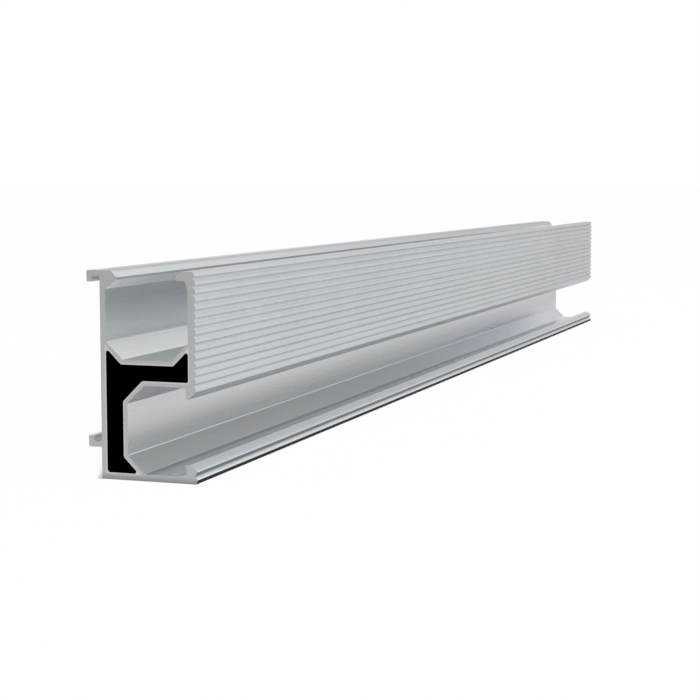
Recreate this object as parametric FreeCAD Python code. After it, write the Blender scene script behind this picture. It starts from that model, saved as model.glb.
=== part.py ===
import FreeCAD, Part
import math
import os

# Solar mounting rail: one aluminium extrusion with an open channel on top, another
# in the serrated side, a closed chamber between them and two hooks on the back.
# The section is drawn as (u, v): u runs from the back wall to the serrated side,
# v runs up from the floor. All sizes are millimetres.

# Overall size.
rail_length = 580.0
rail_height = 60.0
body_width = 30.0

# Wall thicknesses. The serrated wall is measured behind its grooves.
back_wall = 1.7
serrated_wall = 1.65
base_wall = 2.0
web_wall = 1.35
pocket_wall = 1.35
channel_floor = 1.3
diagonal_wall = 1.3

# Closed chamber: an upright leg behind the side channel, an arm under the top one.
chamber_width = 5.25
chamber_height = 4.55

# Both channels take the same clamp: 18.6 mm slots and 45 degree corners inside.
side_channel_height = 25.4
corner_cut = 5.2
top_lip_reach = 3.5
side_lip_reach = 3.4

# Lips of the top slot.
lip_bevel_width = 1.7
flange_bevel_height = 1.9
flange_nose = 0.7
gusset_drop = 2.8
lip_bevel_height = 1.1
lip_nose = 1.5
taper_width = 0.8
taper_height = 2.6

# Upper lip of the side slot, measured in from the tips of the teeth.
upper_lip_back = 3.15
upper_lip_bevel_width = 2.35
upper_lip_bevel_height = 2.3

# Lower lip of the side slot, with the small notch in its outer face.
lower_lip_back = 3.5
lower_lip_barb_width = 0.45
lower_lip_barb_height = 1.15
lower_lip_bevel_width = 2.55
lower_lip_bevel_height = 1.7
ramp_width = 3.0
ramp_height = 0.8
notch_depth = 0.95
notch_height = 2.15
notch_low_edge = 1.3
undercut = 0.4

# Teeth of the serrated wall. Their tips stand a little inside the lower lip's face.
tooth_count = 15
tooth_setback = 0.35
tooth_depth = 0.7
tooth_short_flank = 0.6
tooth_flat = 0.85
tooth_top_drop = 1.3
tooth_top_setback = 0.75

# Hooks on the back wall, one the mirror image of the other.
hook_reach = 4.1
hook_flange = 1.6
hook_tip_width = 1.6
hook_tip_height = 3.3
lower_hook_base = 9.2

# Rounding of the corners.
edge_radius = 0.25
inner_radius = 0.4
hook_radius = 0.5
tooth_radius = 0.1
lip_root_radius = 1.1
chamber_radius = 0.6
knee_radius = 1.0

# Positions that follow from the sizes above.
tooth_face = body_width - tooth_setback
channel_right = tooth_face - tooth_depth - serrated_wall
slot_left = back_wall + top_lip_reach
slot_right = channel_right - top_lip_reach
knee = back_wall + chamber_width
pocket_face = knee + pocket_wall
web_underside = base_wall + side_channel_height
web_top = web_underside + web_wall
ceiling = web_top + chamber_height
top_floor = ceiling + channel_floor
slot_low = base_wall + side_lip_reach
slot_high = web_underside - side_lip_reach
first_tip = rail_height - tooth_top_drop
last_tip = slot_high + upper_lip_bevel_height
tooth_pitch = (first_tip - last_tip) / (tooth_count - 1)
section_middle = (body_width - hook_reach) / 2


def flange_corners():
    """Top flange beyond the back wall: bevelled nose and gusset down to the wall."""
    nose_top = rail_height - flange_bevel_height
    nose_low = nose_top - flange_nose
    return [
        (slot_left - lip_bevel_width, rail_height, edge_radius),
        (slot_left, nose_top, edge_radius),
        (slot_left, nose_low, edge_radius),
        (back_wall, nose_low - gusset_drop, inner_radius),
    ]


def top_channel_corners():
    """Flat channel floor between two 45 degree slopes."""
    return [
        (back_wall, top_floor + corner_cut, inner_radius),
        (back_wall + corner_cut, top_floor, inner_radius),
        (channel_right - corner_cut, top_floor, inner_radius),
        (channel_right, top_floor + corner_cut, inner_radius),
    ]


def top_lip_corners():
    """Lip of the top slot on the serrated wall, thickened by a taper below."""
    nose_top = rail_height - lip_bevel_height
    nose_low = nose_top - lip_nose
    return [
        (channel_right, nose_low - taper_height, inner_radius),
        (channel_right - taper_width, nose_low, inner_radius),
        (slot_right, nose_low, edge_radius),
        (slot_right, nose_top, edge_radius),
        (slot_right + lip_bevel_width, rail_height, edge_radius),
        (tooth_face - tooth_top_setback, rail_height, edge_radius),
    ]


def tooth_corners():
    """Saw teeth down the wall: in under each tip, then a slope out to the next flat."""
    valley = tooth_face - tooth_depth
    corners = []
    for i in range(tooth_count - 1):
        tip = first_tip - i * tooth_pitch
        corners.append((tooth_face, tip, tooth_radius))
        corners.append((valley, tip - tooth_short_flank, tooth_radius))
        corners.append((tooth_face, tip - tooth_pitch + tooth_flat, tooth_radius))
    corners.append((tooth_face, last_tip, tooth_radius))
    return corners


def upper_lip_corners():
    """Upper lip of the side slot, bevelled outward up to the last tooth."""
    back = tooth_face - upper_lip_back
    return [
        (tooth_face - upper_lip_bevel_width, slot_high, edge_radius),
        (back, slot_high, edge_radius),
        (back, web_underside, lip_root_radius),
    ]


def side_channel_corners():
    """Upright channel wall between two 45 degree corners."""
    return [
        (pocket_face + corner_cut, web_underside, inner_radius),
        (pocket_face, web_underside - corner_cut, inner_radius),
        (pocket_face, base_wall + corner_cut, inner_radius),
        (pocket_face + corner_cut, base_wall, inner_radius),
    ]


def lower_lip_corners():
    """Lower lip of the side slot: ramp, barb, bevel and the notch in its face."""
    back = body_width - lower_lip_back
    return [
        (back - ramp_width, base_wall, inner_radius),
        (back, base_wall + ramp_height, inner_radius),
        (back, slot_low - lower_lip_barb_height, edge_radius),
        (back - lower_lip_barb_width, slot_low, edge_radius),
        (body_width - lower_lip_bevel_width, slot_low, edge_radius),
        (body_width, slot_low - lower_lip_bevel_height, edge_radius),
        (body_width - notch_depth, notch_height, tooth_radius),
        (body_width, notch_low_edge, tooth_radius),
        (body_width - undercut, 0.0, edge_radius),
        (0.0, 0.0, edge_radius),
    ]


def hook_corners(outer, direction):
    """Hook from its outer face inward; direction is the way its tip points."""
    inside = outer + direction * hook_flange
    tip = outer + direction * hook_tip_height
    tip_back = -hook_reach + hook_tip_width
    return [
        (-hook_reach, outer, hook_radius),
        (-hook_reach, tip, edge_radius),
        (tip_back, tip, edge_radius),
        (tip_back, inside, inner_radius),
        (0.0, inside, inner_radius),
    ]


def outer_corners():
    """All corners of the outside of the section, in order."""
    lower_hook = [(0.0, lower_hook_base, inner_radius)] + hook_corners(lower_hook_base, 1)
    upper_hook = hook_corners(rail_height, -1)
    upper_hook.reverse()
    corners = flange_corners() + top_channel_corners() + top_lip_corners()
    corners += tooth_corners() + upper_lip_corners() + side_channel_corners()
    corners += lower_lip_corners() + lower_hook + upper_hook
    return corners


def chamber_corners():
    """All corners of the closed chamber between the two channels, in order."""
    # A wall at 45 degrees shifts its far side along u or v by its thickness times this.
    root_two = math.sqrt(2)
    slope_top = top_floor + corner_cut - channel_floor * root_two
    slope_run = slope_top - ceiling
    knee_run = pocket_wall + corner_cut - diagonal_wall * root_two
    return [
        (back_wall, base_wall, knee_radius),
        (back_wall, slope_top, chamber_radius),
        (back_wall + slope_run, ceiling, chamber_radius),
        (channel_right - slope_run, ceiling, chamber_radius),
        (channel_right, slope_top, chamber_radius),
        (channel_right, web_top, chamber_radius),
        (knee + knee_run + web_wall, web_top, knee_radius),
        (knee, web_underside - knee_run, knee_radius),
        (knee, base_wall + knee_run, knee_radius),
        (knee + knee_run, base_wall, chamber_radius),
    ]


def place(u, v):
    """Point of the section on the near end face of the rail."""
    return FreeCAD.Vector(-rail_length / 2, section_middle - u, v)


def rounded_corner(before, corner, after):
    """Start, middle and end of the arc that rounds one corner."""
    point = place(corner[0], corner[1])
    back = place(before[0], before[1]) - point
    ahead = place(after[0], after[1]) - point
    half_angle = back.getAngle(ahead) / 2
    reach = corner[2] / math.tan(half_angle)
    reach = min(reach, 0.45 * back.Length, 0.45 * ahead.Length)
    radius = reach * math.tan(half_angle)
    back.normalize()
    ahead.normalize()
    inward = back + ahead
    inward.normalize()
    depth = radius / math.sin(half_angle) - radius
    return point + back * reach, point + inward * depth, point + ahead * reach


def rounded_outline(corners):
    """Closed wire of straight edges and arcs through a ring of corners."""
    count = len(corners)
    arcs = []
    for i in range(count):
        arcs.append(rounded_corner(corners[i - 1], corners[i], corners[(i + 1) % count]))
    edges = []
    for i in range(count):
        start, middle, end = arcs[i]
        next_start = arcs[(i + 1) % count][0]
        edges.append(Part.Arc(start, middle, end).toShape())
        edges.append(Part.makeLine(end, next_start))
    return Part.Wire(edges)


def mounting_rail():
    """The extruded section with its chamber open at both saw-cut ends."""
    along = FreeCAD.Vector(rail_length, 0, 0)
    body = Part.Face(rounded_outline(outer_corners())).extrude(along)
    chamber = Part.Face(rounded_outline(chamber_corners())).extrude(along)
    return body.cut(chamber)


os.makedirs("parts", exist_ok=True)
mounting_rail().exportStep("parts/mounting_rail.step")
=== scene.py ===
import math
import bpy
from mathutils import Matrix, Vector


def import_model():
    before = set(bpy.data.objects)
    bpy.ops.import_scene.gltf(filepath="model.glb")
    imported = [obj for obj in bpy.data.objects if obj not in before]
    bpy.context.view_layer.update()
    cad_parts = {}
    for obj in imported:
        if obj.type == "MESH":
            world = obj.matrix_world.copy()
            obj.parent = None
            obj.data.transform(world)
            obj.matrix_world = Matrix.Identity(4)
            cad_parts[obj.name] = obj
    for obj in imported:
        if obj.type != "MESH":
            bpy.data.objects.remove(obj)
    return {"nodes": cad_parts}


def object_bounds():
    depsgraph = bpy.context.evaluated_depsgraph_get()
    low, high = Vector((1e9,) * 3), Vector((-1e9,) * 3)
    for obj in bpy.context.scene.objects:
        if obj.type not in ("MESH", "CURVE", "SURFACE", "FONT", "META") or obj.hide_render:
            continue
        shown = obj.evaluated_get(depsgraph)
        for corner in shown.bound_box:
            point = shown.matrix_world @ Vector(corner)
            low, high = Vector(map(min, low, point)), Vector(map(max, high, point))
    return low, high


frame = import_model()
cad_low, cad_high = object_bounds()
rail = frame["nodes"]["mounting_rail"]

# The section is described as in the CAD source: u runs in millimetres from the back
# wall to the serrated side, v runs up from the floor. Y of the row frame is turned.
MM = 1000.0
BODY_WIDTH = 30.0
BASE_WIDTH = 29.6
U_AT_Y_ZERO = BODY_WIDTH + cad_low.y * MM
HALF_LENGTH = cad_high.x * MM
FIRST_TIP = 58.7
TOOTH_PITCH = 32.4 / 14

# Outline of the closed chamber: its straight walls, and u + v or v - u on its slopes.
BACK_WALL = 1.7
BASE_WALL = 2.0
KNEE = 6.95
CHANNEL_RIGHT = 27.3
WEB_TOP = 28.75
CEILING = 33.3
LEFT_SLOPE_SUM = 39.66
RIGHT_SLOPE_DIFFERENCE = 10.66
LOW_KNEE_SUM = 13.66
HIGH_KNEE_DIFFERENCE = 15.74
ROOT_HALF = math.sqrt(0.5)

# Where the faces lie. A limit is an axis and the two places between which the face
# fades in: x, u or v in millimetres, or "tip", the distance below the nearest tooth
# tip. A name among the limits means that the face is a part of that one.
LIMITS = {
    "top_lips": (("v", 57.7, 58.3), ("u", 28.4, 28.2)),
    "top_face": (("v", 59.5, 59.9), ("u", 29.2, 28.9)),
    "back_edge": (("v", 59.9, 59.95), ("u", 3.3, 3.2)),
    "nose": (("u", 4.85, 4.95), ("u", 5.4, 5.3), ("v", 57.35, 57.45), ("v", 58.15, 58.05)),
    "lower_lip": (("v", 5.7, 5.5), ("u", 25.8, 26.0)),
    "lip_top": ("lower_lip", ("v", 5.1, 5.25), ("u", 27.55, 27.35)),
    "lip_bend": ("lower_lip", ("u", 27.35, 27.5), ("u", 28.15, 28.0)),
    "lip_rim": ("lower_lip", ("u", 29.3, 29.6)),
    "upper_lip": (("v", 23.7, 23.8), ("v", 26.2, 26.1), ("u", 26.3, 26.5)),
    "back": (("u", 0.05, -0.05),),
    "top_channel": (("u", 1.4, 1.6), ("u", 27.7, 27.5)),
    "slopes": ("top_channel", ("v", 34.35, 34.4), ("v", 39.8, 39.75)),
    "top_walls": ("top_channel", ("v", 39.8, 39.9), ("v", 57.4, 57.3)),
    "gusset": ("top_walls", ("v", 54.4, 54.8), ("u", 1.75, 2.0)),
    "side_channel": (("u", 7.8, 8.1), ("u", 27.2, 26.9), ("v", 1.7, 1.9), ("v", 27.7, 27.5)),
    "floor_outer": (("u", 14.5, 17.0),),
    "diagonal": (("v", 2.1, 2.4),),
    "wall_foot": (("v", 7.1, 7.3),),
    "crease_highlight": (("v", 7.02, 7.1), ("v", 7.43, 7.35), ("x", 200.0, 0.0)),
    "wall": (("v", 9.0, 13.0),),
    "wall_head": (("v", 14.5, 18.0),),
    "web_underside": (("v", 22.0, 22.6),),
    "side_floor": ("side_channel", ("v", 2.4, 2.1)),
    "side_web": ("side_channel", "web_underside"),
    "side_wall_near": ("side_channel", ("v", 10.0, 15.0), ("x", 0.0, -200.0)),
    "side_low_far": ("side_channel", ("x", -50.0, 150.0), ("v", 14.0, 7.0)),
    "teeth": (("u", 28.7, 28.9), ("v", 25.9, 26.2)),
    "tooth_flank": (("tip", 0.0, 0.1), ("tip", 0.6, 0.5)),
    "tooth_slope": (("tip", 0.48, 0.6), ("tip", 1.12, 1.0)),
    "tooth_line": (("tip", 1.1, 1.2), ("tip", 1.5, 1.4), ("v", 32.0, 46.0), ("x", 60.0, -60.0)),
    "lip_face": (("u", 28.9, 29.1),),
    "notch_low": ("lip_face", ("v", 1.25, 1.35), ("v", 2.2, 2.1)),
    "notch_high": ("lip_face", ("v", 2.1, 2.2), ("v", 3.52, 3.42)),
    "undercut": ("lip_face", ("v", 1.3, 1.15)),
}

# Reflectance of the faces: a number, or terms that are multiplied. A term is an axis,
# two places on it and the value at each. The rail is one metal, so the differences
# between these tones are painted light and shade: each face is painted as bright as the
# light it catches, and many grow lighter or darker along the rail.
TONES = {
    "plain": 0.70,
    "top_lips": (("x", -200.0, 100.0, 0.68, 0.61), ("x", -260.0, 160.0, 1.05, 0.965)),
    "top_face": (("x", -60.0, 170.0, 0.56, 0.475),),
    "nose": (("x", -50.0, 100.0, 0.72, 0.80),),
    "lower_lip": (("x", 30.0, 200.0, 0.75, 0.675),),
    "lip_top": (("u", 26.0, 26.9, 0.74, 0.82), ("x", -300.0, -150.0, 1.38, 1.02),
                ("x", 100.0, 230.0, 1.0, 0.93)),
    "lip_bend": 0.79,
    "lip_rim": 0.78,
    "upper_lip": (("x", -330.0, 40.0, 0.72, 0.55), ("x", 150.0, 260.0, 1.0, 1.22),
                  ("u", 27.5, 27.2, 1.0, 1.28)),
    "back": 0.80,
    "slopes": (("v", 34.75, 34.95, 0.86, 0.76),),
    "top_walls": (("v", 43.0, 54.0, 0.86, 0.74),),
    # Painted light: the gusset under the back flange faces down and is given full reflectance.
    "gusset": 1.0,
    "floor_inner": (("x", 0.0, 180.0, 0.69, 0.885),),
    "floor_outer": (("x", 60.0, 130.0, 0.91, 0.85),),
    "diagonal": (("x", -290.0, -110.0, 0.56, 0.59), ("x", -110.0, 170.0, 1.0, 0.715 / 0.59)),
    "wall_foot": (("x", 60.0, 150.0, 0.83, 0.77), ("x", 180.0, 250.0, 1.0, 0.91)),
    # Painted highlight along the crease between the side wall and the diagonal.
    "crease_highlight": 0.77,
    "wall": (("x", 50.0, 200.0, 0.61, 0.61 * 1.055),),
    "wall_head": (("x", -270.0, -235.0, 0.645, 0.685), ("x", 50.0, 200.0, 1.0, 1.055)),
    # Painted light: the web's underside faces down and is given full reflectance.
    "web_underside": 1.0,
    # Painted light and shade on the teeth: the slope below each tip is painted lighter, a thin
    # line on each tooth darker, and the teeth darker towards the far end.
    "tooth_tip": 0.67,
    "tooth_flank": (("v", 34.0, 50.0, 0.66, 0.72),),
    "tooth_slope": (("v", 34.0, 50.0, 0.755, 0.81),),
    "tooth_line": 0.60,
    "teeth_factor": (("x", 20.0, 220.0, 1.0, 0.95),),
    # Painted light and shade on the lower lip: the notch's lower flank is painted lighter, its
    # upper flank dark, and the undercut nearly black, as shade where the lip meets the floor.
    "notch_low": 0.82,
    "notch_high": (("x", -50.0, 200.0, 0.19, 0.10),),
    "undercut": 0.02,
    # Painted shade: the chamber's walls are painted nearly black.
    "painted_chamber_shade": 0.012,
    # Painted shade: the cut ends are darker low down by the floor, and a little darker towards
    # the top.
    "cut_end": (("v", -0.6, 2.4, 0.50, 1.0), ("v", 28.0, 60.0, 1.05, 0.95)),
}

# The order in which the faces are laid over what is there, group by group.
OUTER_FACES = ("top_lips", "top_face", "nose", "lower_lip", "lip_top", "lip_bend", "lip_rim",
               "upper_lip", "back", "slopes", "top_walls", "gusset")
SIDE_CHANNEL_FACES = ("floor_outer", "diagonal", "wall_foot", "crease_highlight", "wall", "wall_head",
                      "web_underside")
TOOTH_FACES = ("tooth_flank", "tooth_slope", "tooth_line")
LOWER_LIP_FACES = ("notch_low", "notch_high", "undercut")

# Colours of the bare metal, linear. Between the extruded faces the tint is painted light:
# open faces are painted bluer, the near channel wall more neutral, and the side channel
# bluer still towards the far end, for the light each face catches.
TINT = (0.955, 0.985, 1.0)
CUT_TINT = (0.985, 1.0, 0.99)
OPEN_TINT = (0.925, 0.968, 1.0)
WALL_TINT = (0.975, 0.985, 1.0)
FAR_TINT = (0.94, 0.972, 1.025)
OPEN_FACES = ("teeth", "top_face", "top_lips", "lower_lip", "upper_lip", "side_floor",
              "side_web")
SPECULAR_TINT = (0.7, 0.7, 0.7, 1.0)

# Share of metal, by face.
METALLIC = 0.94
TOP_WALL_METALLIC = 0.91
GUSSET_METALLIC = 0.40

# Lines from the die: noise that is stretched along x, finer and broader, and clouds.
# A factor is two values of the noise and what the reflectance is multiplied by there.
FINE_STRETCH, FINE_SCALE, FINE_DETAIL = 0.0003, 1.0, 0.0
BROAD_STRETCH, BROAD_SCALE, BROAD_DETAIL = 0.003, 0.35, 1.0
CLOUD_SCALE, CLOUD_DETAIL = 0.03, 3.0
FINE_FACTOR = (0.25, 0.75, 0.985, 1.012)
BROAD_FACTOR = (0.25, 0.75, 0.98, 1.02)
CLOUD_FACTOR = (0.3, 0.7, 0.985, 1.015)
SHELTERED_CALM = 0.8

# Saw marks: arcs about a point beyond the lower back corner of the cut. Round the
# chamber's mouth the metal has a painted highlight.
SAW_BACK, SAW_DOWN = 90.0, 170.0
SAW_SCALE, SAW_DETAIL = 3.2, 3.0
GRAIN_SCALE, GRAIN_DETAIL, GRAIN_ROUGHNESS = 1.4, 3.0, 0.6
SAW_TONE = (0.3, 0.7, 0.42, 0.465)
GRAIN_FACTOR = (0.3, 0.7, 0.97, 1.03)
MOUTH_HIGHLIGHT = (-0.55, -0.1, 1.0, 1.3)
CUT_DEPTH = 0.005
CHAMBER_SHADE_EDGE = -0.4

# Roughness, by the broader lines and by the saw marks.
ROUGHNESS = (0.25, 0.75, 0.27, 0.29)
CUT_ROUGHNESS = (0.3, 0.7, 0.40, 0.50)
UNDERCUT_ROUGHNESS = 0.6

# Heights for the bump, in units of its distance in metres.
BUMP_DISTANCE = 0.000005
LINE_HEIGHT = 0.3
SHELTERED_LINE_HEIGHT = 0.04
SAW_HEIGHT = 0.6
BACK_EDGE_SLOPE = -60.0

# Floor, in metres: how far the rail's shadow is kept, and the painted shadow line under its
# front.
FLOOR_SIZE = 40
FLOOR_COLOUR = (0.96, 0.96, 0.96, 1)
WHITE = (1, 1, 1, 1)
SHADOW_REACH = 0.07
SHADOW_BY_NEAR_END, SHADOW_BY_FAR_END = 0.5, 1.5
SHADOW_MARGIN = 0.002
END_MARGIN = 0.001
FRONT_CUT = 1000.0
SHADOW_FADE = (0.55, 1.0)
SHARE_IN_SHADOW, SHARE_IN_OPEN = 0.1, 0.97
SHADOW_LINE_NEAR, SHADOW_LINE_FAR = 0.00008, 0.0006
SHADOW_LINE_FADE = (0.4, 1.0)
SHADOW_LINE_END = 0.0001

# Light and camera. The camera's numbers come from the fit to both cut ends.
WORLD_STRENGTH = 0.66
KEY_PLACE, KEY_AIM = (-0.3, -1.75, 1.15), (0, 0, 0)
KEY_SIZE, KEY_POWER = (2.0, 1.2), 32
SENSOR_WIDTH, FOCAL_LENGTH = 36, 85.83
CLIP_START, CLIP_END = 0.01, 100
CAMERA_PLACE = (-0.71455, -0.20909, 0.08578)
CAMERA_FORWARD = (0.940233, 0.324892, -0.102018)


class Graph:
    """Short calls for adding and joining the nodes of one tree."""

    def __init__(self, tree):
        self.tree = tree

    def add(self, kind, **settings):
        made = self.tree.nodes.new(kind)
        for name, value in settings.items():
            setattr(made, name, value)
        return made

    def feed(self, socket, value):
        if isinstance(value, bpy.types.NodeSocket):
            self.tree.links.new(value, socket)
        elif isinstance(value, tuple) and len(value) == 3 and socket.type == "RGBA":
            socket.default_value = value + (1.0,)
        else:
            socket.default_value = value

    def math(self, operation, *values):
        made = self.add("ShaderNodeMath", operation=operation)
        for socket, value in zip(made.inputs, values):
            self.feed(socket, value)
        return made.outputs[0]

    def chain(self, operation, values):
        result = values[0]
        for value in values[1:]:
            result = self.math(operation, result, value)
        return result

    def lowest(self, *values):
        return self.chain("MINIMUM", values)

    def highest(self, *values):
        return self.chain("MAXIMUM", values)

    def product(self, *values):
        return self.chain("MULTIPLY", values)

    def ramp(self, value, start, end, low=0.0, high=1.0):
        """Smooth step from low at start to high at end; start may be above end."""
        made = self.add("ShaderNodeMapRange", interpolation_type="SMOOTHSTEP")
        for name, number in (("Value", value), ("From Min", start), ("From Max", end),
                             ("To Min", low), ("To Max", high)):
            self.feed(made.inputs[name], number)
        return made.outputs["Result"]

    def mix(self, share, first, second):
        made = self.add("ShaderNodeMix", data_type="FLOAT")
        self.feed(made.inputs[0], share)
        self.feed(made.inputs[2], first)
        self.feed(made.inputs[3], second)
        return made.outputs[0]

    def blend(self, share, first, second):
        made = self.add("ShaderNodeMix", data_type="RGBA")
        self.feed(made.inputs[0], share)
        self.feed(made.inputs[6], first)
        self.feed(made.inputs[7], second)
        return made.outputs[2]

    def times(self, colour, value):
        """Colour times a number that varies over the surface."""
        made = self.add("ShaderNodeVectorMath", operation="SCALE")
        self.feed(made.inputs[0], colour)
        self.feed(made.inputs["Scale"], value)
        return made.outputs[0]

    def vector(self, x, y, z):
        made = self.add("ShaderNodeCombineXYZ")
        for socket, value in zip(made.inputs, (x, y, z)):
            self.feed(socket, value)
        return made.outputs[0]

    def place(self):
        """x, y and z in metres at the shaded point."""
        split = self.add("ShaderNodeSeparateXYZ")
        self.feed(split.inputs[0], self.add("ShaderNodeTexCoord").outputs["Object"])
        return split.outputs

    def noise(self, place, scale, detail, roughness=0.5):
        made = self.add("ShaderNodeTexNoise")
        self.feed(made.inputs["Vector"], place)
        made.inputs["Scale"].default_value = scale
        made.inputs["Detail"].default_value = detail
        made.inputs["Roughness"].default_value = roughness
        return made.outputs["Fac"]

    def noise_line(self, value, scale, detail):
        """Noise that varies with one number only."""
        made = self.add("ShaderNodeTexNoise", noise_dimensions="1D")
        self.feed(made.inputs["W"], value)
        made.inputs["Scale"].default_value = scale
        made.inputs["Detail"].default_value = detail
        return made.outputs["Fac"]

    def bump(self, height, distance):
        made = self.add("ShaderNodeBump")
        self.feed(made.inputs["Height"], height)
        made.inputs["Distance"].default_value = distance
        return made.outputs["Normal"]


class Section:
    """The faces of the rail's section, as nodes of one tree."""

    def __init__(self, g):
        self.g = g
        x, y, z = g.place()
        self.x = g.math("MULTIPLY", x, MM)
        self.u = g.math("MULTIPLY_ADD", y, -MM, U_AT_Y_ZERO)
        self.v = g.math("MULTIPLY", z, MM)
        teeth_down = g.math("DIVIDE", g.math("SUBTRACT", FIRST_TIP, self.v), TOOTH_PITCH)
        below_tip = g.math("MULTIPLY", g.math("FRACT", teeth_down), TOOTH_PITCH)
        self.axes = {"x": self.x, "u": self.u, "v": self.v, "tip": below_tip}
        self.masks = {}

    def ramps(self, terms):
        return [self.g.ramp(self.axes[axis], *numbers) for axis, *numbers in terms]

    def face(self, name):
        """1 on the named face, fading to 0 over its limits."""
        if name not in self.masks:
            parts = [self.face(part) for part in LIMITS[name] if isinstance(part, str)]
            parts += self.ramps(part for part in LIMITS[name] if not isinstance(part, str))
            self.masks[name] = self.g.product(*parts)
        return self.masks[name]

    def tone(self, name):
        """Reflectance of the named face."""
        tone = TONES[name]
        return tone if isinstance(tone, float) else self.g.product(*self.ramps(tone))

    def paint(self, ground, names):
        """Lay the named faces over a reflectance, one after another."""
        for name in names:
            ground = self.g.mix(self.face(name), ground, self.tone(name))
        return ground

    def chamber_depth(self):
        """Distance into the closed chamber's outline: above 0 inside it, in millimetres."""
        g, u, v = self.g, self.u, self.v
        total = g.math("ADD", u, v)
        difference = g.math("SUBTRACT", v, u)

        def left_over(first, second):
            return g.math("SUBTRACT", first, second)

        def sloped(first, second):
            return g.math("MULTIPLY", left_over(first, second), ROOT_HALF)

        below_ceiling = g.highest(left_over(CEILING, v), sloped(LEFT_SLOPE_SUM, total),
                                  sloped(RIGHT_SLOPE_DIFFERENCE, difference))
        off_channel = g.highest(left_over(KNEE, u), left_over(v, WEB_TOP),
                                sloped(LOW_KNEE_SUM, total),
                                sloped(difference, HIGH_KNEE_DIFFERENCE))
        return g.lowest(left_over(u, BACK_WALL), left_over(v, BASE_WALL),
                        left_over(CHANNEL_RIGHT, u), below_ceiling, off_channel)


def reflectance(g, section, painted_chamber_shade):
    """Reflectance and painted light and shade of the extruded faces, before lines and clouds.
    """
    tone = section.paint(section.tone("plain"), OUTER_FACES)
    side = section.paint(section.tone("floor_inner"), SIDE_CHANNEL_FACES)
    tone = g.mix(section.face("side_channel"), tone, side)
    tooth = section.paint(section.tone("tooth_tip"), TOOTH_FACES)
    tooth = g.product(tooth, section.tone("teeth_factor"))
    tone = g.mix(section.face("teeth"), tone, tooth)
    tone = section.paint(tone, LOWER_LIP_FACES)
    return g.mix(painted_chamber_shade, tone, section.tone("painted_chamber_shade"))


def tint_of(g, section):
    """Tint of the extruded faces, painted by the light each face catches."""
    tint = g.blend(g.highest(*map(section.face, OPEN_FACES)), TINT, OPEN_TINT)
    tint = g.blend(section.face("side_wall_near"), tint, WALL_TINT)
    return g.blend(section.face("side_low_far"), tint, FAR_TINT)


def cut_tone(g, section, marks, inside):
    """Reflectance of the saw-cut ends: painted shade low down, a painted highlight round the
    chamber.
    """
    grain = g.noise(g.vector(section.x, section.u, section.v), GRAIN_SCALE, GRAIN_DETAIL,
                    GRAIN_ROUGHNESS)
    return g.product(g.ramp(marks, *SAW_TONE), g.ramp(grain, *GRAIN_FACTOR),
                     section.tone("cut_end"), g.ramp(inside, *MOUTH_HIGHLIGHT))


def aluminium():
    """Satin metal with lines along the rail, and duller ends with saw marks."""
    mat = bpy.data.materials.new("rail_aluminium")
    mat.use_nodes = True
    g = Graph(mat.node_tree)
    bsdf = mat.node_tree.nodes["Principled BSDF"]
    bsdf.inputs["Specular Tint"].default_value = SPECULAR_TINT

    section = Section(g)
    x, u, v = section.x, section.u, section.v
    from_end = g.math("SUBTRACT", HALF_LENGTH, g.math("ABSOLUTE", x))
    cut = g.math("LESS_THAN", from_end, CUT_DEPTH)
    not_cut = g.math("SUBTRACT", 1.0, cut)
    inside = section.chamber_depth()
    # Inside the chamber the walls are painted nearly black: painted shade.
    painted_chamber_shade = g.product(g.math("GREATER_THAN", inside, CHAMBER_SHADE_EDGE), not_cut)
    gusset = section.face("gusset")
    sheltered = g.highest(section.face("top_walls"), section.face("side_channel"))

    # Lines from the die run the whole length, with faint clouds over them.
    fine = g.noise(g.vector(g.product(x, FINE_STRETCH), u, v), FINE_SCALE, FINE_DETAIL)
    broad = g.noise(g.vector(g.product(x, BROAD_STRETCH), u, v), BROAD_SCALE, BROAD_DETAIL)
    cloud = g.noise(g.vector(x, u, v), CLOUD_SCALE, CLOUD_DETAIL)
    variation = g.product(g.ramp(fine, *FINE_FACTOR), g.ramp(broad, *BROAD_FACTOR),
                          g.ramp(cloud, *CLOUD_FACTOR))
    calm = g.highest(g.product(sheltered, SHELTERED_CALM), gusset)
    tone = g.product(reflectance(g, section, painted_chamber_shade), g.mix(calm, variation, 1.0))
    long_colour = g.times(tint_of(g, section), tone)

    # The blade's marks on the ends are wide arcs.
    across = g.math("POWER", g.math("ADD", u, SAW_BACK), 2.0)
    up = g.math("POWER", g.math("ADD", v, SAW_DOWN), 2.0)
    arc = g.math("SQRT", g.math("ADD", across, up))
    marks = g.noise_line(arc, SAW_SCALE, SAW_DETAIL)
    end_colour = g.times(CUT_TINT, cut_tone(g, section, marks, inside))
    g.feed(bsdf.inputs["Base Color"], g.blend(cut, long_colour, end_colour))

    metal = g.mix(section.face("top_walls"), METALLIC, TOP_WALL_METALLIC)
    metal = g.mix(gusset, metal, GUSSET_METALLIC)
    g.feed(bsdf.inputs["Metallic"], g.mix(g.highest(cut, painted_chamber_shade), metal, 1.0))

    rough = g.mix(section.face("undercut"), g.ramp(broad, *ROUGHNESS), UNDERCUT_ROUGHNESS)
    rough = g.mix(cut, rough, g.ramp(marks, *CUT_ROUGHNESS))
    g.feed(bsdf.inputs["Roughness"], rough)

    # The back edge of the flange leans very slightly, worn by handling.
    lines = g.product(fine, g.mix(sheltered, LINE_HEIGHT, SHELTERED_LINE_HEIGHT))
    height = g.mix(cut, lines, g.product(marks, SAW_HEIGHT))
    worn = g.product(section.face("back_edge"), not_cut, g.product(u, BACK_EDGE_SLOPE))
    g.feed(bsdf.inputs["Normal"], g.bump(g.math("ADD", height, worn), BUMP_DISTANCE))
    return mat


def seen_or_mirrored(g):
    """1 for rays from the camera and for what metal and glass show, else 0."""
    path = g.add("ShaderNodeLightPath")
    return g.highest(path.outputs["Is Camera Ray"], path.outputs["Is Glossy Ray"],
                     path.outputs["Is Transmission Ray"])


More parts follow.
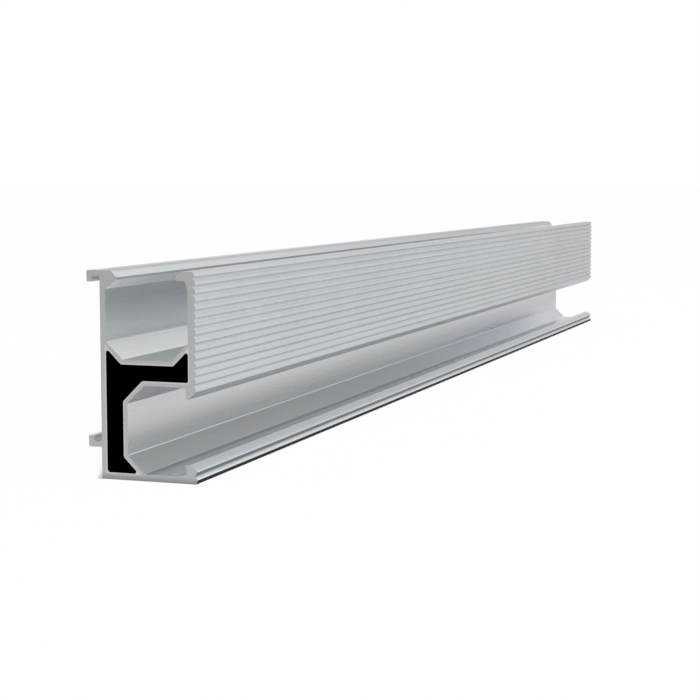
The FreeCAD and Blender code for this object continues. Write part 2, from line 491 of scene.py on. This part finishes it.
def clear_of_shadow(g, x, y, beyond):
    """Share of plain white on the floor: low just behind the rail, so that its shadow
    stays there, and high elsewhere."""
    half_length = HALF_LENGTH / MM
    back = U_AT_Y_ZERO / MM
    behind = g.highest(g.math("SUBTRACT", y, back), 0.0)
    ahead = g.highest(g.math("SUBTRACT", back, y), 0.0)
    from_near = g.highest(g.math("ADD", x, half_length), 0.0)
    from_far = g.highest(g.math("SUBTRACT", half_length, x), 0.0)
    reach = g.lowest(g.product(from_near, SHADOW_BY_NEAR_END),
                     g.product(from_far, SHADOW_BY_FAR_END), SHADOW_REACH)
    reach = g.math("ADD", reach, SHADOW_MARGIN)
    across = g.math("POWER", g.math("DIVIDE", behind, reach), 2.0)
    past = g.math("POWER", g.math("DIVIDE", beyond, END_MARGIN), 2.0)
    away = g.math("SQRT", g.math("ADD", across, past))
    away = g.math("MULTIPLY_ADD", ahead, FRONT_CUT, away)
    return g.ramp(away, *SHADOW_FADE, SHARE_IN_SHADOW, SHARE_IN_OPEN)


def painted_front_shadow(g, x, y, beyond):
    """Brightness of the floor's white: 1, but a painted shadow darkens it in a thin line
    along the front edge of the base."""
    half_length = HALF_LENGTH / MM
    before = g.math("SUBTRACT", (U_AT_Y_ZERO - BASE_WIDTH) / MM, y)
    width = g.ramp(x, -half_length, half_length, SHADOW_LINE_NEAR, SHADOW_LINE_FAR)
    on_line = g.product(g.math("GREATER_THAN", before, 0.0),
                        g.math("LESS_THAN", beyond, SHADOW_LINE_END))
    return g.mix(on_line, 1.0, g.ramp(g.math("DIVIDE", before, width), *SHADOW_LINE_FADE))


def floor():
    bpy.ops.mesh.primitive_plane_add(size=FLOOR_SIZE, location=(0, 0, 0))
    plane = bpy.context.object
    plane.name = "floor"
    mat = bpy.data.materials.new("floor_pale")
    mat.use_nodes = True
    tree = mat.node_tree
    tree.nodes.clear()
    g = Graph(tree)
    lit = g.add("ShaderNodeBsdfDiffuse")
    lit.inputs["Color"].default_value = FLOOR_COLOUR
    glow = g.add("ShaderNodeEmission")
    glow.inputs["Color"].default_value = WHITE
    x, y, _ = g.place()
    beyond = g.highest(g.math("SUBTRACT", g.math("ABSOLUTE", x), HALF_LENGTH / MM), 0.0)
    g.feed(glow.inputs["Strength"], painted_front_shadow(g, x, y, beyond))
    mix = g.add("ShaderNodeMixShader")
    g.feed(mix.inputs[0], g.product(seen_or_mirrored(g), clear_of_shadow(g, x, y, beyond)))
    g.feed(mix.inputs[1], lit.outputs[0])
    g.feed(mix.inputs[2], glow.outputs[0])
    out = g.add("ShaderNodeOutputMaterial")
    g.feed(out.inputs["Surface"], mix.outputs[0])
    plane.data.materials.append(mat)


def key_light():
    data = bpy.data.lights.new("key", "AREA")
    data.shape = "RECTANGLE"
    data.size, data.size_y = KEY_SIZE
    data.energy = KEY_POWER
    lamp = bpy.data.objects.new("key", data)
    lamp.location = KEY_PLACE
    lamp.rotation_mode = "QUATERNION"
    lamp.rotation_quaternion = (Vector(KEY_AIM) - Vector(KEY_PLACE)).to_track_quat("-Z", "Y")
    bpy.context.collection.objects.link(lamp)


def world():
    """Soft light from all round, and plain white behind the rail."""
    made = bpy.data.worlds.new("studio")
    bpy.context.scene.world = made
    made.use_nodes = True
    g = Graph(made.node_tree)
    back = made.node_tree.nodes["Background"]
    back.inputs["Color"].default_value = WHITE
    back.inputs["Strength"].default_value = WORLD_STRENGTH
    white = g.add("ShaderNodeBackground")
    white.inputs["Color"].default_value = WHITE
    white.inputs["Strength"].default_value = 1.0
    mix = g.add("ShaderNodeMixShader")
    g.feed(mix.inputs[0], seen_or_mirrored(g))
    g.feed(mix.inputs[1], back.outputs[0])
    g.feed(mix.inputs[2], white.outputs[0])
    g.feed(made.node_tree.nodes["World Output"].inputs["Surface"], mix.outputs[0])


def camera():
    data = bpy.data.cameras.new("camera")
    data.sensor_width = SENSOR_WIDTH
    data.lens = FOCAL_LENGTH
    data.clip_start, data.clip_end = CLIP_START, CLIP_END
    made = bpy.data.objects.new("camera", data)
    made.location = CAMERA_PLACE
    made.rotation_mode = "QUATERNION"
    made.rotation_quaternion = Vector(CAMERA_FORWARD).to_track_quat("-Z", "Y")
    bpy.context.collection.objects.link(made)
    bpy.context.scene.camera = made


rail.material_slots[0].material = aluminium()
floor()
key_light()
world()
camera()
bpy.context.scene.view_settings.view_transform = "Standard"
